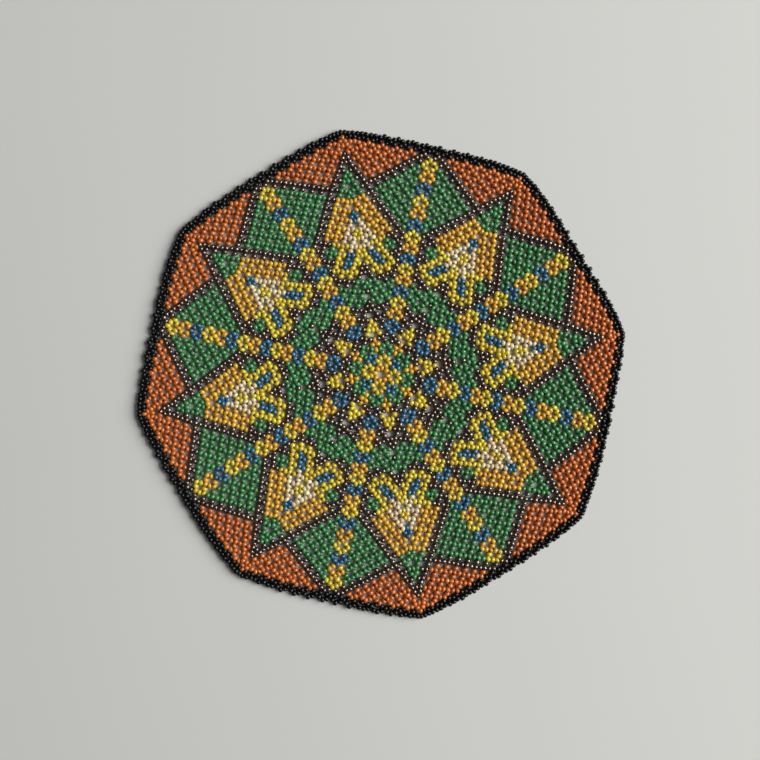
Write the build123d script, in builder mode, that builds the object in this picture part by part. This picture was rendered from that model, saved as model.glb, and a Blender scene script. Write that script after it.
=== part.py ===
"""A flat octagonal mat netted from glass seed beads, without a backing.

The net is one bead thick. It is worked outwards in rounds from a small ring, and its eight
equal sectors meet at the eight corners. Several thousand beads are too many for a solid each,
so the beads of each motif are joined here into one plain panel with the motif's real outline
and the thickness of a bead.

Places in the net are given as (side, row). Rows are counted outwards from the ring round the
centre hole, and side is counted in half beads' spacings, right or left of the sector's middle
line, which is called its spoke. A corner line runs from the centre to a corner of the mat.
"""
from build123d import *
import os
from math import cos, dist, radians, sin

os.makedirs("parts", exist_ok=True)

# Driving dimensions, in millimetres.
BEAD_ACROSS = 2.3  # outside diameter of a bead, and the thickness of the net
ROW_STEP = 1.11  # from one row of beads to the next, along a spoke
SIDE_STEP = 1.354  # from one bead to the next, sideways along a row
FIRST_ROW = 2.95  # from the centre to row 0
ACROSS_FLATS = 180.0  # the whole mat, from side to side
CORNER_RADIUS = 41.0  # the mat's corners are drawn in and well rounded
EDGING_WIDTH = 4.35  # the black edging
EDGE_ROUNDING = 0.8  # the round of the outermost beads
CENTRE_HOLE_RADIUS = 1.3
ARROW_TIP = 83.7  # from the centre to the tip of an arrow's brown outline
ARROW_POINT = 76.7  # from the centre to the tip of its green point
POINT_FOOT = 68.0  # and to the foot of that point
SAME_PLACE = 0.01  # points nearer than this are one point

SECTORS = 8
SECTOR_ANGLE = 360 / SECTORS
HALF_SECTOR = radians(SECTOR_ANGLE / 2)

# Places in the net, as sides and rows.
SPOKE_SIDE = 2.5  # half the width of a spoke's chain of rings
SPOKE_TOP = 73
DIAMOND_TOP = 77  # where the outer edges of a diamond's outline would cross the spoke
OUTLINE_TOP = 47.5  # the arrow's outline, where it reaches the spoke
OUTLINE_FOOT = 43.5
YOKE_ROW = 28.5  # the brown yoke under the arrows
BAND_ROW = 20.5  # the foot of the green band
STAR_ROW = 9.5  # the foot of the brown star field and of the spokes
ARROW_FOOT = 33  # where the arrow's two lobes part, on the corner line

# Outlines in a sector, as (side, row) places in the net.
LOBE = [(7, 44.2), (8, 43.5), (8, 40.2), (4, 38.5), (4, 33), (6, 30.5), (10, 30.5)]
GREEN_RING = [(3.6, 44.2), (7, 44.2), (8, 43.5), (8, 40.2), (3.6, 40.2)]
BAND_FOOT = [(2.5, 22), (5, 20.5)]

# Outlines beside a corner line: the distance from the centre, and aside from the line, in millimetres.
PEARL_CHEVRON = [(59.7, 0), (52.5, -5.6), (47.5, -5.0), (47.5, -2.2), (51.5, -2.2), (56.0, 0)]
BLUE_FEATHER = [(47.3, -2.4), (47.3, -5.0), (42.5, -8.3), (41.2, -5.7)]
STAR_CLUSTER = [(21.4, 0), (18.5, -2.4), (15.9, -2.3), (15.9, 0)]


def net(side, row):
    """The place of a bead in a sector whose spoke points along +Y."""
    return (side * SIDE_STEP, FIRST_ROW + row * ROW_STEP)


def by_corner(distance, aside=0):
    """A place on the corner line to the right of the spoke, or aside from it."""
    x = distance * sin(HALF_SECTOR) + aside * cos(HALF_SECTOR)
    y = distance * cos(HALF_SECTOR) - aside * sin(HALF_SECTOR)
    return (x, y)


def corner_at_row(row):
    """Where a row of beads reaches the corner line."""
    return by_corner((FIRST_ROW + row * ROW_STEP) / cos(HALF_SECTOR))


def mirrored(points):
    """The same outline on the other side of the spoke."""
    return [(-x, y) for x, y in points]


def over_corner(points):
    """The same outline on the other side of the corner line."""
    reflected = []
    for x, y in points:
        along = x * sin(HALF_SECTOR) + y * cos(HALF_SECTOR)
        reflected.append((2 * along * sin(HALF_SECTOR) - x, 2 * along * cos(HALF_SECTOR) - y))
    return reflected


def meet(a, b, c, d):
    """Where the line through a and b crosses the line through c and d."""
    across = (a[0] - b[0]) * (c[1] - d[1]) - (a[1] - b[1]) * (c[0] - d[0])
    first = a[0] * b[1] - a[1] * b[0]
    second = c[0] * d[1] - c[1] * d[0]
    x = (first * (c[0] - d[0]) - (a[0] - b[0]) * second) / across
    y = (first * (c[1] - d[1]) - (a[1] - b[1]) * second) / across
    return (x, y)


def both_sides(points, reflected):
    """A closed outline of the points and their reflections, with those on the line only once."""
    far_side = [other for point, other in zip(points, reflected) if dist(point, other) > SAME_PLACE]
    return points + far_side[::-1]


def spoke_shape(points):
    """A closed outline that is the same on both sides of the spoke."""
    return both_sides(points, mirrored(points))


def corner_shape(points):
    """A closed outline that is the same on both sides of the corner line."""
    return both_sides(points, over_corner(points))


# The bead field inside the black edging: an octagon with drawn-in, rounded corners.
with BuildSketch() as whole_mat:
    RegularPolygon(ACROSS_FLATS / 2, SECTORS, major_radius=False, rotation=SECTOR_ANGLE / 2)
    fillet(whole_mat.vertices(), CORNER_RADIUS)

with BuildSketch() as bead_field:
    RegularPolygon(
        ACROSS_FLATS / 2 - EDGING_WIDTH, SECTORS, major_radius=False, rotation=SECTOR_ANGLE / 2
    )
    fillet(bead_field.vertices(), CORNER_RADIUS - EDGING_WIDTH)


def panel(outlines, sectors, cut=()):
    """One node: the same panels of bead net in each of the sectors named."""
    with BuildPart() as piece:
        for sector in sectors:
            with BuildSketch(Plane.XY.rotated((0, 0, -sector * SECTOR_ANGLE))):
                for points in outlines:
                    with BuildLine():
                        Polyline(*points, close=True)
                    make_face()
                for points in cut:
                    with BuildLine():
                        Polyline(*points, close=True)
                    make_face(mode=Mode.SUBTRACT)
                add(bead_field.sketch, mode=Mode.INTERSECT)
            extrude(amount=BEAD_ACROSS)
    return piece.part


def save(part, name):
    part.label = name
    export_step(part, f"parts/{name}.step")


EVERY_SECTOR = range(SECTORS)
EDGE_ROW = (ACROSS_FLATS / 2 - EDGING_WIDTH - FIRST_ROW) / ROW_STEP

# The arrow's outline is a band from its tip down to the spoke, on each side of a corner line.
outline_top = net(SPOKE_SIDE, OUTLINE_TOP)
outline_foot = net(SPOKE_SIDE, OUTLINE_FOOT)
arrow_tip = by_corner(ARROW_TIP)
arrow_point = by_corner(ARROW_POINT)

# The diamond's upper outline runs parallel to the far side of the net's meshes.
upper_inner = (net(0, SPOKE_TOP), net(SPOKE_TOP, 0))
upper_outer = (net(0, DIAMOND_TOP), net(DIAMOND_TOP, 0))
diamond_inner_corner = meet(outline_top, arrow_tip, *upper_inner)
diamond_outer_corner = meet(outline_top, arrow_tip, *upper_outer)
spoke_shoulder = net(SPOKE_SIDE, SPOKE_TOP - SPOKE_SIDE)
diamond_cap = net(DIAMOND_TOP - EDGE_ROW, EDGE_ROW)

# The black edging: two rounds of beads along all eight sides, cut where the corners meet.
with BuildPart() as black_edging:
    with BuildSketch():
        add(whole_mat.sketch)
    extrude(amount=BEAD_ACROSS)
    fillet(black_edging.edges().filter_by(GeomType.LINE).filter_by(Axis.Z, reverse=True)
           + black_edging.edges().filter_by(GeomType.CIRCLE), EDGE_ROUNDING)
    with BuildSketch():
        add(bead_field.sketch)
    extrude(amount=BEAD_ACROSS, mode=Mode.SUBTRACT)
    for corner in range(SECTORS // 2):
        angle = radians((corner + 0.5) * SECTOR_ANGLE)
        split(bisect_by=Plane((0, 0, 0), z_dir=(cos(angle), sin(angle), 0)), keep=Keep.BOTH)
save(black_edging.part, "black_edging")

# The large motifs, each in its own node, numbered clockwise from the spoke along +Y.
orange_corner = corner_shape([corner_at_row(EDGE_ROW + 5), net(DIAMOND_TOP - EDGE_ROW, EDGE_ROW + 5),
                              diamond_cap, diamond_outer_corner, arrow_tip])
diamond_outline = spoke_shape([net(0, EDGE_ROW), diamond_cap, diamond_outer_corner,
                               diamond_inner_corner, net(0, SPOKE_TOP)])
green_half = [spoke_shoulder, diamond_inner_corner, outline_top]
arrow_outline = corner_shape([arrow_tip, diamond_outer_corner, diamond_inner_corner, outline_top,
                              outline_foot, arrow_point])
spoke = spoke_shape([net(0, SPOKE_TOP), spoke_shoulder, net(SPOKE_SIDE, STAR_ROW)])

# The arrow's body, from the foot of its green point down to its two yellow lobes.
point_foot = meet(outline_foot, arrow_point, by_corner(POINT_FOOT), by_corner(POINT_FOOT, -1))
lobe_top = meet(outline_foot, arrow_point, net(LOBE[0][0], 0), net(*LOBE[0]))
lobe_line = [lobe_top] + [net(*place) for place in LOBE]
arrow_body = corner_shape([by_corner(POINT_FOOT), point_foot] + lobe_line
                          + [corner_at_row(ARROW_FOOT)])
green_point = corner_shape([arrow_point, point_foot, by_corner(POINT_FOOT)])

# Inlays in the arrow's body, and the ring between each lobe and the spoke.
pearl_chevron = corner_shape([by_corner(*place) for place in PEARL_CHEVRON])
blue_feather = [by_corner(*place) for place in BLUE_FEATHER]
green_ring = [net(*place) for place in GREEN_RING]

for sector in EVERY_SECTOR:
    number = sector + 1
    save(panel([orange_corner], [sector]), f"orange_corner_{number}")
    save(panel([diamond_outline], [sector]), f"diamond_outline_{number}")
    save(panel([green_half, mirrored(green_half)], [sector]), f"green_diamond_{number}")
    save(panel([arrow_outline], [sector]), f"arrow_outline_{number}")
    body_inlays = [pearl_chevron, blue_feather, over_corner(blue_feather)]
    save(panel([arrow_body], [sector], cut=body_inlays), f"arrow_body_{number}")
    save(panel([spoke], [sector]), f"spoke_{number}")

# The small motifs, which repeat round the mat, share a node each.
save(panel([green_point], EVERY_SECTOR), "arrow_points")
save(panel([pearl_chevron], EVERY_SECTOR), "pearl_chevrons")
save(panel([blue_feather, over_corner(blue_feather)], EVERY_SECTOR), "blue_feathers")
save(panel([green_ring, mirrored(green_ring)], EVERY_SECTOR), "green_rings")

# The brown yoke fills between the spokes, the arrows' lobes and the green band.
yoke = corner_shape([corner_at_row(ARROW_FOOT)] + lobe_line[::-1]
                    + [outline_foot, net(SPOKE_SIDE, YOKE_ROW), corner_at_row(YOKE_ROW)])
save(panel([yoke], EVERY_SECTOR, cut=[green_ring, over_corner(green_ring)]), "brown_yoke")

band_foot = [net(*place) for place in BAND_FOOT] + [corner_at_row(BAND_ROW)]
green_band = corner_shape([corner_at_row(YOKE_ROW), net(SPOKE_SIDE, YOKE_ROW)] + band_foot)
save(panel([green_band], EVERY_SECTOR), "green_band")

# The brown star field, with a yellow cluster on each corner line.
star_cluster = corner_shape([by_corner(*place) for place in STAR_CLUSTER])
star_field = corner_shape(band_foot[::-1] + [net(SPOKE_SIDE, STAR_ROW), corner_at_row(STAR_ROW)])
save(panel([star_field], EVERY_SECTOR, cut=[star_cluster]), "star_field")
save(panel([star_cluster], EVERY_SECTOR), "star_clusters")

# The centre rosette: petals, knots and rings of beads round the small centre hole.
with BuildPart() as centre_rosette:
    with BuildSketch():
        RegularPolygon(net(0, STAR_ROW)[1], SECTORS, major_radius=False, rotation=SECTOR_ANGLE / 2)
        Circle(CENTRE_HOLE_RADIUS, mode=Mode.SUBTRACT)
    extrude(amount=BEAD_ACROSS)
save(centre_rosette.part, "centre_rosette")
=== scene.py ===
import math

import bpy
import numpy as np
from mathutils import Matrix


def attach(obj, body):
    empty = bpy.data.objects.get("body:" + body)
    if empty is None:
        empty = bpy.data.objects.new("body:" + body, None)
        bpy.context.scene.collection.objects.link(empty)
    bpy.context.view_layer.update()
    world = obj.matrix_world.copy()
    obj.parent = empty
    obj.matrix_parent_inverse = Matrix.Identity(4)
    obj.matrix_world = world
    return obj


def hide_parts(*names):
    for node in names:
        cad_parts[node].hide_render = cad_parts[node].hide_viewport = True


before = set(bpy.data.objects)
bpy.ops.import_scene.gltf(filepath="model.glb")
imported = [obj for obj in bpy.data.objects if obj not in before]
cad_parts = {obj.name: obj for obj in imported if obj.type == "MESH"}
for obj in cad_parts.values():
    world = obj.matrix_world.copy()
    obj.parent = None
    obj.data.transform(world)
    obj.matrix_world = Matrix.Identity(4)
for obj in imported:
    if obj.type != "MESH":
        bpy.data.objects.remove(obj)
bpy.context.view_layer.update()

# An octagonal mat netted from glass seed beads. Eight equal sectors meet on the corner lines.
# Inside a sector a bead is named by its side step and its row, and the spoke lies along +Y.
# Lengths are in millimetres until the meshes are made.

MM = 0.001
SEED = 7
rng = np.random.default_rng(SEED)

# ---- the net ----
SECTORS = 8
SECTOR_TURN = math.radians(45)
HALF_TURN = math.radians(22.5)
FIRST_ROW = 5
LAST_ROW = 78
# A row meets the corner line at side step (row + ROWS_INSIDE) / ROWS_A_STEP.
ROWS_INSIDE = 4
ROWS_A_STEP = 3
CORNER_PERIOD = 6            # the net gains stitches at the corners every six rows
# How far each row lies from the centre, measured along the spoke: (row, distance).
ROW_PLACES = (
    (5, 8.4), (8, 12.2), (10, 14.35), (14, 19.0), (30, 36.75), (34, 41.0), (38, 44.95),
    (50, 58.25), (54, 62.8), (58, 67.5), (62, 72.15), (66, 76.9), (70, 81.55), (74, 85.9),
    (77, 88.6), (78, 89.0),
)
# How much a row bends out (+) or in (-) at the corner line: (row, change).
CORNER_BENDS = (
    (5, 0.0), (8, 0.35), (14, 0.15), (20, 0.4), (32, 0.55), (40, 0.2), (46, -0.5),
    (56, 0.0), (62, 0.35), (68, -0.5), (74, -1.4), (78, -2.7),
)
BEND_POWER = 3.2             # how sharply that change grows towards the corner line
# The thread draws a row that has no corner bead towards the corner line, most of all near it.
CORNER_PULL = 0.75
CORNER_PULL_POWER = 6
SAME_PLACE = 0.01            # lengths that differ by less are the same
ON_CORNER = 0.99             # a share of the way to the corner line that counts as being on it
SPOKE_SQUEEZE = 0.86         # the beads beside the spoke stand a little nearer to it
EDGE_ROW = 89.2              # the outermost bead centres, at the middle of a side
EDGE_DROP = 2.6              # and how much nearer they come at the corners

# ---- the beads ----
BEAD_RADIUS = 1.15
BEAD_HALF_LENGTH = 0.80
HOLE_RADIUS = 0.34
RIM_RADIUS = 0.50            # where the rounding of the ends begins
LEG_LEAN = math.radians(27)
BEAD_SEGMENTS = 16
PROFILE_ANGLES = (0, 30, 60, 95, 150, 210, 265, 300, 330)
PROFILE_POWERS = (0.78, 0.85, 0.92, 0.98)
TURN_SPREAD = math.radians(7)
TILT_SPREAD = math.radians(5)
PLACE_SPREAD = 0.035
DRIFT = 0.10                 # the slow wander of the whole net
DRIFT_WAVES = 6
DRIFT_LENGTHS = (22, 60)     # the shortest and the longest wave
LIFT_SPREAD = 0.10
SIZE_SPREAD = 0.035
SIZE_LIMITS = (0.90, 1.07)
LENGTH_SPREAD = 0.07
LENGTH_LIMITS = (0.82, 1.12)
END_DROP = 0.5               # the share of its half length by which a tilted bead's low end drops
TONE_SHARES = (0.22, 0.56, 0.22)

# ---- how the beads settle ----
TOUCH = 0.965                # beads are pushed apart to this share of their reach
NEIGHBOUR_REACH = 2.6        # beads nearer than this can touch
PUSH_SHARE = 0.28            # of an overlap, taken up by each bead in one round
HOME_PULL = 0.08             # of the way back to its own place, in one round
ROUNDS = 70
BLOCK = 500                  # beads compared with all the others at a time
TINY = 1e-6

# ---- the thread ----
THREAD_RADIUS = 0.08
THREAD_SIDES = 5
THREAD_INSET = 0.42          # millimetres from a bead's middle to where a strand ends in its hole
THREAD_KNEE = 0.92           # and to where it bends, in the gap
THREAD_REACH = 2.6           # longer strands would cross a gap between beads that aren't joined

SPOKE_COLOURS = ("yellow", "amber", "blue")
CORNER_COLOURS = {
    6: "amber", 12: "yellow", 18: "bronze", 24: "bronze", 30: "bronze", 36: "yellow", 42: "yellow",
    48: "blue", 54: "amber", 60: "green", 66: "bronze", 72: "orange", 78: "black",
}


def motif(side, row):
    """The colour of the bead at this side step and row, and the motif that it belongs to."""
    m = abs(side)
    i = (row + m) // 2
    j = (row - m) // 2
    odd = row % 2 == 1
    if row >= 75:
        return "black", "black_edging"
    if m <= 2 and 13 <= row <= 72:
        return SPOKE_COLOURS[(72 - row) // 4 % 3], "spoke"
    if row >= 73 and m <= 3:
        return "bronze", "diamond_outline"
    if j >= 22 and (i == 38 or (i == 37 and odd)):
        return "bronze", "diamond_outline"
    if row <= 68 and i >= 24 and (j == 22 or (j == 21 and odd)):
        return "bronze", "arrow_outline"
    if j >= 23 and i >= 39:
        return "orange", "orange_corner"
    if j >= 23 and i <= 36:
        return "green", "green_diamond"
    if row >= 29:
        return arrow_motif(m, row, i, j)
    if row >= 21:
        return ("bronze" if (row, m) == (21, 3) else "green"), "green_band"
    if row >= 9:
        return star_motif(m, row)
    if (row, m) in ((7, 3), (8, 4)):
        return "amber", "centre_rosette"
    return "green", "centre_rosette"


def arrow_motif(m, row, i, j):
    """The same for the arrows on the corner lines."""
    if (row, m) == (29, 3):
        return "green", "green_band"
    if 2 * row + m > 128:
        return "green", "arrow_points"
    if abs(i - 24) + abs(j - 18) <= 1:
        return "green", "green_rings"
    if (j == 14 and 21 <= i <= 24) or (j == 13 and i in (22, 24)):
        return "blue", "blue_feathers"
    if j == 16 and i in (33, 34):
        return "blue", "blue_feathers"
    if (j == 16 and 27 <= i <= 32) or (j == 15 and i in (28, 30)):
        return "pearl", "pearl_chevrons"
    if (j == 14 and 25 <= i <= 28) or (i, j) == (26, 13):
        return "pearl", "pearl_chevrons"
    if row <= 33 and (i <= 18 or j <= 10):
        return "bronze", "brown_yoke"
    if (j == 20 and 23 <= i <= 26) or (i == 22 and 17 <= j <= 19):
        return "bronze", "arrow_outline"
    if (i, j) in ((26, 19), (21, 18)) or (m == 3 and row <= 47):
        return "bronze", "arrow_outline"
    return ("amber" if row >= 45 else "yellow"), "arrow_body"


def star_motif(m, row):
    """The same for the dark field round the centre."""
    if (row, m) == (12, 0):
        return "blue", "star_clusters"
    if (row, m) in ((11, 3), (12, 4), (13, 5), (14, 6)):
        return "yellow", "star_clusters"
    return "bronze", "star_field"


def corner_motif(row):
    """The motif of the single bead on the corner line in this row."""
    if row >= 78:
        return "black_edging"
    if row == 72:
        return "orange_corner"
    if row == 66:
        return "arrow_outline"
    if row == 60:
        return "arrow_points"
    if row == 48:
        return "blue_feathers"
    if row >= 36:
        return "arrow_body"
    inner = {30: "brown_yoke", 24: "green_band", 18: "star_field", 12: "star_clusters"}
    return inner.get(row, "centre_rosette")


# The centre: (side, distance, turn of the hole from the tangent in degrees, colour).
PETAL_BEADS = (
    (0.0, 2.8, 0, "amber"),
    (1.23, 3.64, 55, "yellow"), (-1.23, 3.64, -55, "yellow"),
    (2.41, 4.98, 95, "yellow"), (-2.41, 4.98, -95, "yellow"),
    (1.42, 6.2, 140, "yellow"), (-1.42, 6.2, -140, "yellow"),
    (0.0, 7.24, 0, "yellow"),
)
CLUSTER_BEADS = (
    (0.0, 2.4, 0, "amber"),
    (0.0, 5.2, 0, "blue"),
    (1.3, 6.8, 60, "blue"), (-1.3, 6.8, -60, "blue"),
    (0.0, 7.9, 0, "blue"),
)


def row_place(row, share):
    """A row's distance from the centre. share is 0 on the spoke and 1 on the corner line."""
    along = np.interp(row, *zip(*ROW_PLACES))
    bend = np.interp(row, *zip(*CORNER_BENDS))
    return along + bend * share ** BEND_POWER


def net_place(side, row):
    """Side offset and distance of a net bead, in its sector's frame."""
    share = abs(side) * ROWS_A_STEP / (row + ROWS_INSIDE)
    v = row_place(row, share)
    squeeze = SPOKE_SQUEEZE if abs(side) == 2 and row > 8 else 1
    u = squeeze * side * math.tan(HALF_TURN) * v * ROWS_A_STEP / (row + ROWS_INSIDE)
    if share > ON_CORNER or row in CORNER_COLOURS:
        return u, v
    return u + math.copysign(CORNER_PULL * share ** CORNER_PULL_POWER, side), v


def row_steps(row):
    """The side steps in one sector of this row."""
    offset = (row - 2) % CORNER_PERIOD
    corner = (row - offset + ROWS_INSIDE) // ROWS_A_STEP
    last = corner + (0, -1, -2, -1, 0, 1)[offset]
    if row % 2:
        steps = list(range(1, last + 1, 2))
        return [-m for m in steps] + steps
    steps = list(range(row % 4, last + 1, 4))
    shared = [m for m in steps if offset == 0 and m == last]
    return steps + [-m for m in steps if m > 0 and m not in shared]


def turned(u, v, angle, sector):
    """Place and hole direction, in the mat's frame, of a bead given in a sector's own frame."""
    a = sector * SECTOR_TURN
    x = u * math.cos(a) + v * math.sin(a)
    y = -u * math.sin(a) + v * math.cos(a)
    return x, y, angle - a


def node_name(family, sector, side):
    """The CAD node of a motif: one for each spoke or corner, or one for the whole mat."""
    right = sector + 1
    if family in ("spoke", "diamond_outline", "green_diamond"):
        return f"{family}_{right}"
    if family in ("orange_corner", "arrow_outline", "arrow_body"):
        return f"{family}_{right if side > 0 else (sector - 1) % SECTORS + 1}"
    return family


def all_beads():
    """Every bead as (x, y, hole angle, colour, node, is a leg)."""
    beads = []
    for sector in range(SECTORS):
        centre = CLUSTER_BEADS if sector % 2 else PETAL_BEADS
        for u, v, turn, colour in centre:
            x, y, angle = turned(u, v, math.radians(turn), sector)
            beads.append((x, y, angle, colour, "centre_rosette", False))
        for row in range(FIRST_ROW, LAST_ROW + 1):
            for side in row_steps(row):
                u, v = net_place(side, row)
                colour, family = motif(side, row)
                x, y, angle = turned(u, v, hole_angle(side, row, u, v), sector)
                beads.append((x, y, angle, colour, node_name(family, sector, side), row % 2 == 1))
            if row in CORNER_COLOURS:
                u, v = net_place(row_steps(row)[-1], row)
                reach = v * math.cos(HALF_TURN) + abs(u) * math.sin(HALF_TURN)
                u, v = reach * math.sin(HALF_TURN), reach * math.cos(HALF_TURN)
                x, y, angle = turned(u, v, -HALF_TURN, sector)
                node = node_name(corner_motif(row), sector, 1)
                beads.append((x, y, angle, CORNER_COLOURS[row], node, False))
    return beads


def hole_angle(side, row, u, v):
    """The direction of the hole. Shared beads lie along the row, and legs lean between two rows."""
    if row % 2 == 0:
        on_corner = abs(abs(u) - v * math.tan(HALF_TURN)) < SAME_PLACE
        return -HALF_TURN if on_corner else 0.0
    leans_out = ((row + abs(side)) // 2) % 2 == 1
    lean = LEG_LEAN if leans_out == (side > 0) else -LEG_LEAN
    return math.pi / 2 - lean


def near_pairs(points, reach):
    """Every pair of beads closer than reach, as two index arrays."""
    first, second = [], []
    for start in range(0, len(points), BLOCK):
        block = points[start:start + BLOCK]
        gaps = ((block[:, None, :] - points[None, :, :]) ** 2).sum(2)
        a, b = np.nonzero(gaps < reach ** 2)
        a = a + start
        keep = a < b
        first.append(a[keep])
        second.append(b[keep])
    return np.concatenate(first), np.concatenate(second)


def half_width(axis, away, size):
    """How far a bead reaches in the direction away from its middle, taken as an ellipse from above."""
    along = np.abs((axis * away).sum(1))
    across = np.sqrt(np.clip(1 - along ** 2, 0, 1))
    return size * np.sqrt((BEAD_HALF_LENGTH * along) ** 2 + (BEAD_RADIUS * across) ** 2)


def kept_inside(points):
    """The same points, none beyond the mat's outline."""
    angle = np.arctan2(points[:, 0], points[:, 1])
    off_spoke = (angle + HALF_TURN) % SECTOR_TURN - HALF_TURN
    share = np.abs(np.tan(off_spoke)) / math.tan(HALF_TURN)
    edge = (EDGE_ROW - EDGE_DROP * share ** BEND_POWER) / np.cos(off_spoke)
    reach = np.hypot(points[:, 0], points[:, 1])
    return points * np.minimum(1, edge / reach)[:, None]


def settled(points, angles, sizes):
    """The beads push each other apart, and the thread pulls them to their places.

    Neighbours still overlap afterwards: a bead's outline is fuller than the ellipse used here, and
    the beads are large for the net's spacing.
    """
    axis = np.stack([np.cos(angles), np.sin(angles)], 1)
    home = points.copy()
    a, b = near_pairs(points, NEIGHBOUR_REACH)
    for _ in range(ROUNDS):
        gap = points[b] - points[a]
        length = np.maximum(np.hypot(gap[:, 0], gap[:, 1]), TINY)
        away = gap / length[:, None]
        reach = half_width(axis[a], away, sizes[a]) + half_width(axis[b], away, sizes[b])
        push = np.clip(TOUCH * reach - length, 0, None)[:, None] * away * PUSH_SHARE
        np.add.at(points, a, -push)
        np.add.at(points, b, push)
        points += (home - points) * HOME_PULL
        points = kept_inside(points)
    return points


def slow_drift(points):
    """A gentle wander of the whole net, as a mat laid down by hand has."""
    moved = np.zeros_like(points)
    for _ in range(DRIFT_WAVES):
        heading = rng.uniform(0, 2 * math.pi)
        wave = rng.uniform(*DRIFT_LENGTHS)
        phase = rng.uniform(0, 2 * math.pi)
        along = points @ np.array([math.cos(heading), math.sin(heading)])
        sway = np.sin(2 * math.pi * along / wave + phase)
        push = rng.normal(0, DRIFT, 2)
        moved += sway[:, None] * push[None, :]
    return points + moved


# ---- the shape of one bead ----
def bead_profile(power):
    """A closed outline in (along the hole, radius), with the hole inside and rounded ends."""
    rows = []
    for degrees in PROFILE_ANGLES:
        a = math.radians(degrees)
        outward = math.copysign(abs(math.cos(a)) ** power, math.cos(a))
        along = math.copysign(abs(math.sin(a)) ** power, math.sin(a))
        depth = BEAD_RADIUS - RIM_RADIUS if outward > 0 else RIM_RADIUS - HOLE_RADIUS
        rows.append((BEAD_HALF_LENGTH * along, RIM_RADIUS + depth * outward))
    return np.array(rows)


def bead_mesh(power):
    """Corner points of one bead, its hole along X, and its four-sided faces."""
    profile = bead_profile(power)
    count = len(profile)
    turns = np.arange(BEAD_SEGMENTS) * 2 * math.pi / BEAD_SEGMENTS
    x = np.repeat(profile[None, :, 0], BEAD_SEGMENTS, 0)
    y = profile[None, :, 1] * np.cos(turns)[:, None]
    z = profile[None, :, 1] * np.sin(turns)[:, None]
    faces = []
    for s in range(BEAD_SEGMENTS):
        after = (s + 1) % BEAD_SEGMENTS
        for p in range(count):
            q = (p + 1) % count
            faces.append((s * count + p, after * count + p, after * count + q, s * count + q))
    return np.stack([x, y, z], 2).reshape(-1, 3), np.array(faces)


def frames(angles, tilts, rolls):
    """One turning matrix for each bead: roll about the hole, then tilt, then turn in the plane."""
    ca, sa = np.cos(angles), np.sin(angles)
    ct, st = np.cos(tilts), np.sin(tilts)
    cr, sr = np.cos(rolls), np.sin(rolls)
    hole = np.stack([ca * ct, sa * ct, st], 1)
    side = np.stack([-sa, ca, np.zeros_like(ca)], 1)
    up = np.cross(hole, side)
    second = side * cr[:, None] + up * sr[:, None]
    third = up * cr[:, None] - side * sr[:, None]
    return np.stack([hole, second, third], 2)


def new_mesh(name, points, quads, tones=None):
    """A smooth mesh from arrays of points and four-sided faces."""
    mesh = bpy.data.meshes.new(name)
    mesh.vertices.add(len(points))
    mesh.vertices.foreach_set("co", (points * MM).astype(np.float32).ravel())
    mesh.loops.add(quads.size)
    mesh.loops.foreach_set("vertex_index", quads.astype(np.int32).ravel())
    mesh.polygons.add(len(quads))
    mesh.polygons.foreach_set("loop_start", np.arange(0, quads.size, 4, dtype=np.int32))
    mesh.polygons.foreach_set("use_smooth", np.ones(len(quads), bool))
    if tones is not None:
        mesh.polygons.foreach_set("material_index", tones.astype(np.int32))
    mesh.update(calc_edges=True)
    mesh.validate()
    return mesh


def add_piece(name, mesh, materials):
    """An object with plain materials on its mesh and the patterned ones on its own slots."""
    for plain, _ in materials:
        mesh.materials.append(plain)
    piece = bpy.data.objects.new(name, mesh)
    bpy.context.collection.objects.link(piece)
    for place, (_, patterned) in enumerate(materials):
        piece.material_slots[place].link = "OBJECT"
        piece.material_slots[place].material = patterned
    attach(piece, "root")
    return piece


# ---- materials ----
def plain_material(name, colour, gloss):
    """Constants on the shader's own sockets."""
    material = bpy.data.materials.new(name)
    material.use_nodes = True
    shader = material.node_tree.nodes["Principled BSDF"]
    shader.inputs["Base Color"].default_value = (*colour, 1)
    for socket, value in gloss.items():
        shader.inputs[socket].default_value = value
    return material, shader


CLOUD_SCALE = 620
CLOUD_DETAIL = 2
CLOUD_EDGES = (0.28, 0.74)
CLOUD_DARKER = 0.22
CLOUD_LIGHTER = 0.16
PIT_SCALE = 2600
PIT_STRENGTH = 0.10
PIT_DEPTH = 0.06 * MM


def glass_pair(name, colour, gloss, grain=1.0):
    """A bead's glass: a plain material, and one whose colour and surface wander a little."""
    plain, _ = plain_material(name + "_plain", colour, gloss)
    material, shader = plain_material(name, colour, gloss)
    nodes, links = material.node_tree.nodes, material.node_tree.links
    place = nodes.new("ShaderNodeTexCoord")
    cloud = nodes.new("ShaderNodeTexNoise")
    cloud.inputs["Scale"].default_value = CLOUD_SCALE
    cloud.inputs["Detail"].default_value = CLOUD_DETAIL
    links.new(place.outputs["Object"], cloud.inputs["Vector"])
    ramp = nodes.new("ShaderNodeValToRGB")
    darker, lighter = ramp.color_ramp.elements
    darker.position, lighter.position = CLOUD_EDGES
    darker.color = (*(c * (1 - CLOUD_DARKER * grain) for c in colour), 1)
    lighter.color = (*(min(1, c * (1 + CLOUD_LIGHTER * grain)) for c in colour), 1)
    links.new(cloud.outputs["Fac"], ramp.inputs["Fac"])
    links.new(ramp.outputs["Color"], shader.inputs["Base Color"])
    pits = nodes.new("ShaderNodeTexNoise")
    pits.inputs["Scale"].default_value = PIT_SCALE
    links.new(place.outputs["Object"], pits.inputs["Vector"])
    bump = nodes.new("ShaderNodeBump")
    bump.inputs["Strength"].default_value = PIT_STRENGTH
    bump.inputs["Distance"].default_value = PIT_DEPTH
    links.new(pits.outputs["Fac"], bump.inputs["Height"])
    links.new(bump.outputs["Normal"], shader.inputs["Normal"])
    return plain, material


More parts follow.
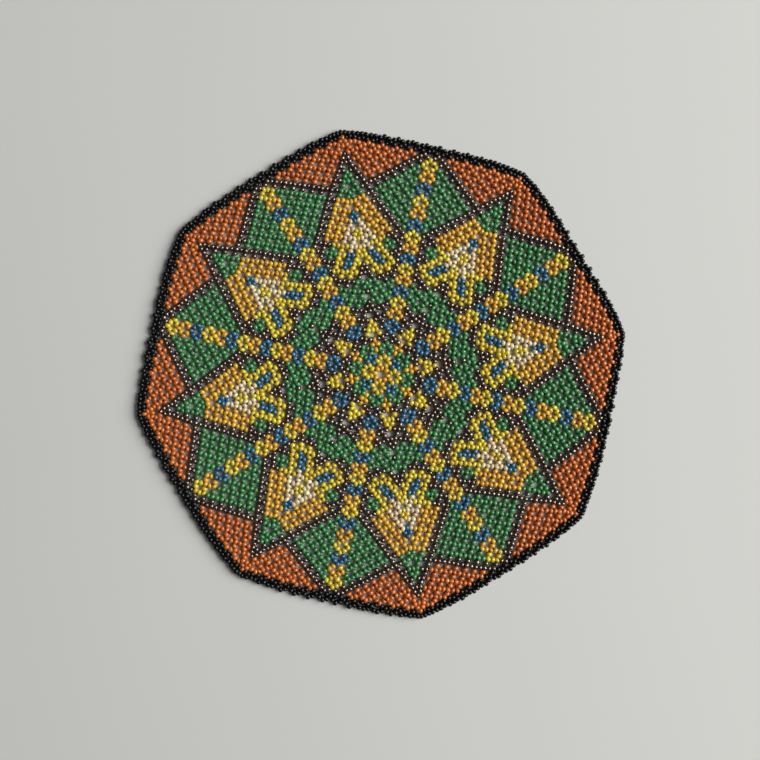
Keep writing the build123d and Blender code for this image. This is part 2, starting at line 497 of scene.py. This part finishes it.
GLASS = {"Roughness": 0.34, "Specular IOR Level": 0.9, "Coat Weight": 0.3, "Coat Roughness": 0.18}
PEARL = {"Roughness": 0.22, "Specular IOR Level": 0.6, "Coat Weight": 0.5, "Coat Roughness": 0.12,
         "Sheen Weight": 0.1}
BRONZE = {"Roughness": 0.27, "Metallic": 0.92, "Coat Weight": 0.4, "Coat Roughness": 0.1}
BLACK = {"Roughness": 0.22, "Specular IOR Level": 0.4}
# Base colours in linear light, with each colour's finish.
COLOURS = {
    "orange": ((0.61, 0.145, 0.014), GLASS),
    "green": ((0.050, 0.245, 0.066), GLASS),
    "amber": ((0.76, 0.410, 0.022), GLASS),
    "yellow": ((0.74, 0.560, 0.025), GLASS),
    "blue": ((0.022, 0.140, 0.245), GLASS),
    "pearl": ((0.80, 0.650, 0.390), PEARL),
    "bronze": ((0.240, 0.185, 0.150), BRONZE),
    "black": ((0.006, 0.006, 0.006), BLACK),
}
THREAD_COLOUR = (0.16, 0.14, 0.11)
THREAD_GLOSS = {"Roughness": 0.45}
THREAD_GRAIN = 0.5
TONES = (("dark", (0.86, 0.78, 0.84)), ("mid", (1.0, 1.0, 1.0)), ("light", (1.06, 1.16, 1.15)))


def tone_set(name, colour, gloss):
    """Three glass materials of one colour, as no two beads are quite alike."""
    pairs = []
    for tone, factors in TONES:
        shade = tuple(min(1, c * factor) for c, factor in zip(colour, factors))
        pairs.append(glass_pair(f"{name}_glass_{tone}", shade, gloss))
    return pairs


bead_materials = {name: tone_set(name, *look) for name, look in COLOURS.items()}
thread_material = glass_pair("nylon_thread", THREAD_COLOUR, THREAD_GLOSS, THREAD_GRAIN)


# ---- the beads in their places ----
beads = all_beads()
count = len(beads)
places = np.array([bead[:2] for bead in beads])
angles = np.array([bead[2] for bead in beads])
legs = np.array([bead[5] for bead in beads])
sizes = np.clip(rng.normal(1.0, SIZE_SPREAD, count), *SIZE_LIMITS)
angles = angles + rng.normal(0, TURN_SPREAD, count)
places = slow_drift(places) + rng.normal(0, PLACE_SPREAD, (count, 2))
places = settled(places, angles, sizes)
lengths = sizes * np.clip(rng.normal(1.0, LENGTH_SPREAD, count), *LENGTH_LIMITS)
tilts = rng.normal(0, TILT_SPREAD, count)
rolls = rng.uniform(0, 2 * math.pi, count)
shapes = rng.integers(0, len(PROFILE_POWERS), count)
tones = rng.choice(len(TONES), count, p=TONE_SHARES)
lifts = np.abs(rng.normal(0, LIFT_SPREAD, count))
rest = sizes * (BEAD_RADIUS * np.cos(tilts) + BEAD_HALF_LENGTH * END_DROP * np.abs(np.sin(tilts)))
heights = rest + lifts
turning = frames(angles, tilts, rolls)
bead_shapes = [bead_mesh(power) for power in PROFILE_POWERS]


def placed_beads(chosen):
    """Points, faces and tones of the chosen beads, each in its own place."""
    all_points, all_faces, all_tones = [], [], []
    start = 0
    for n in chosen:
        points, faces = bead_shapes[shapes[n]]
        stretch = np.array([lengths[n], sizes[n], sizes[n]])
        middle = np.array([places[n, 0], places[n, 1], heights[n]])
        all_points.append((points * stretch) @ turning[n].T + middle)
        all_faces.append(faces + start)
        all_tones.append(np.full(len(faces), tones[n]))
        start += len(points)
    return np.concatenate(all_points), np.concatenate(all_faces), np.concatenate(all_tones)


groups = {}
for number, bead in enumerate(beads):
    groups.setdefault((bead[4], bead[3]), []).append(number)

for (node, colour), chosen in groups.items():
    name = f"{node}_{colour}_beads"
    piece = add_piece(name, new_mesh(name, *placed_beads(chosen)), bead_materials[colour])
    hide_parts(node)


# ---- the thread between the beads ----
def bead_ends(chosen, reach):
    """Both ends of each chosen bead's hole, a little inside or outside it."""
    middles = np.column_stack([places[chosen], heights[chosen]])
    holes = turning[chosen][:, :, 0] * (lengths[chosen] * reach)[:, None]
    return middles + holes, middles - holes


def strands():
    """The thread from each end of a leg to the nearest shared bead's hole: three points a strand."""
    leg = np.nonzero(legs)[0]
    shared = np.nonzero(~legs)[0]
    from_knee = np.concatenate(bead_ends(leg, THREAD_KNEE))
    from_hole = np.concatenate(bead_ends(leg, THREAD_INSET))
    to_knee = np.concatenate(bead_ends(shared, THREAD_KNEE))
    to_hole = np.concatenate(bead_ends(shared, THREAD_INSET))
    nearest = np.empty(len(from_knee), int)
    for start in range(0, len(from_knee), BLOCK):
        block = from_knee[start:start + BLOCK]
        gaps = ((block[:, None, :2] - to_knee[None, :, :2]) ** 2).sum(2)
        nearest[start:start + BLOCK] = gaps.argmin(1)
    knee = (from_knee + to_knee[nearest]) / 2
    runs = np.stack([from_hole, knee, to_hole[nearest]], 1)
    span = np.linalg.norm(runs[:, 0] - runs[:, 2], axis=1)
    return runs[span < THREAD_REACH]


def tubes(runs):
    """Thin round tubes along the runs, as points and four-sided faces."""
    count, rings = runs.shape[:2]
    along = runs[:, 2] - runs[:, 0]
    along = along / np.linalg.norm(along, axis=1)[:, None]
    side = np.cross(along, (0, 0, 1))
    side = side / np.maximum(np.linalg.norm(side, axis=1), TINY)[:, None]
    up = np.cross(side, along)
    turns = np.arange(THREAD_SIDES) * 2 * math.pi / THREAD_SIDES
    ring = THREAD_RADIUS * (
        side[:, None, :] * np.cos(turns)[None, :, None] + up[:, None, :] * np.sin(turns)[None, :, None]
    )
    points = (runs[:, :, None, :] + ring[:, None, :, :]).reshape(-1, 3)
    faces = []
    for r in range(rings - 1):
        for s in range(THREAD_SIDES):
            after = (s + 1) % THREAD_SIDES
            low, high = r * THREAD_SIDES, (r + 1) * THREAD_SIDES
            faces.append((low + s, low + after, high + after, high + s))
    starts = np.arange(count) * rings * THREAD_SIDES
    return points, (np.array(faces)[None, :, :] + starts[:, None, None]).reshape(-1, 4)


add_piece("beading_thread", new_mesh("beading_thread", *tubes(strands())), [thread_material])

# ---- the table, the light and the camera ----
PICTURE_TURN = math.radians(12.95)
PICTURE_WIDTH = 0.291
LENS = 43.3
SENSOR = 36
AIM = (0.186 * MM, -2.19 * MM)
TABLE_SIZE = 3.0
TABLE_COLOURS = ((0.725, 0.725, 0.690), (0.755, 0.755, 0.715))
TABLE_ROUGHNESS = 0.85
TABLE_CLOUD_SCALE = 5
ROOM_COLOUR = (0.92, 0.95, 1.0)
ROOM_STRENGTH = 0.05


def stage_material():
    """A pale matt table."""
    material, shader = plain_material("pale_table", TABLE_COLOURS[0], {"Roughness": TABLE_ROUGHNESS})
    nodes, links = material.node_tree.nodes, material.node_tree.links
    place = nodes.new("ShaderNodeTexCoord")
    cloud = nodes.new("ShaderNodeTexNoise")
    cloud.inputs["Scale"].default_value = TABLE_CLOUD_SCALE
    links.new(place.outputs["Object"], cloud.inputs["Vector"])
    ramp = nodes.new("ShaderNodeValToRGB")
    for element, colour in zip(ramp.color_ramp.elements, TABLE_COLOURS):
        element.color = (*colour, 1)
    links.new(cloud.outputs["Fac"], ramp.inputs["Fac"])
    links.new(ramp.outputs["Color"], shader.inputs["Base Color"])
    return material


bpy.ops.mesh.primitive_plane_add(size=TABLE_SIZE, location=(0, 0, 0))
table = bpy.context.object
table.name = "table"
table.data.materials.append(stage_material())


def area_light(name, place, size, power):
    """A soft square light that looks at the middle of the mat."""
    light = bpy.data.lights.new(name, "AREA")
    light.shape = "SQUARE"
    light.size = size
    light.energy = power
    lamp = bpy.data.objects.new(name, light)
    bpy.context.collection.objects.link(lamp)
    lamp.location = place
    x, y, z = place
    lean = math.acos(z / math.sqrt(x * x + y * y + z * z))
    lamp.rotation_euler = (lean, 0, math.atan2(y, x) + math.pi / 2)


# (name, distance, height in degrees, heading from the picture's right in degrees, size, power)
LIGHTS = (
    ("window", 2.4, 36, 8, 1.90, 80.2),     # low enough that the gaps in the net stay dark
    ("ceiling", 1.2, 76, 20, 0.45, 0.7),
)
for name, distance, height, heading, size, power in LIGHTS:
    rise = math.radians(height)
    turn = PICTURE_TURN + math.radians(heading)
    flat = distance * math.cos(rise)
    place = (flat * math.cos(turn), flat * math.sin(turn), distance * math.sin(rise))
    area_light(name, place, size, power)

world = bpy.data.worlds.new("room")
world.use_nodes = True
world.node_tree.nodes["Background"].inputs["Color"].default_value = (*ROOM_COLOUR, 1)
world.node_tree.nodes["Background"].inputs["Strength"].default_value = ROOM_STRENGTH
bpy.context.scene.world = world

camera_data = bpy.data.cameras.new("camera")
camera_data.lens = LENS
camera_data.sensor_width = SENSOR
camera = bpy.data.objects.new("camera", camera_data)
bpy.context.collection.objects.link(camera)
camera.location = (*AIM, PICTURE_WIDTH * LENS / SENSOR + BEAD_RADIUS * MM)
camera.rotation_euler = (0, 0, PICTURE_TURN)
bpy.context.scene.camera = camera
bpy.context.scene.view_settings.view_transform = "Standard"
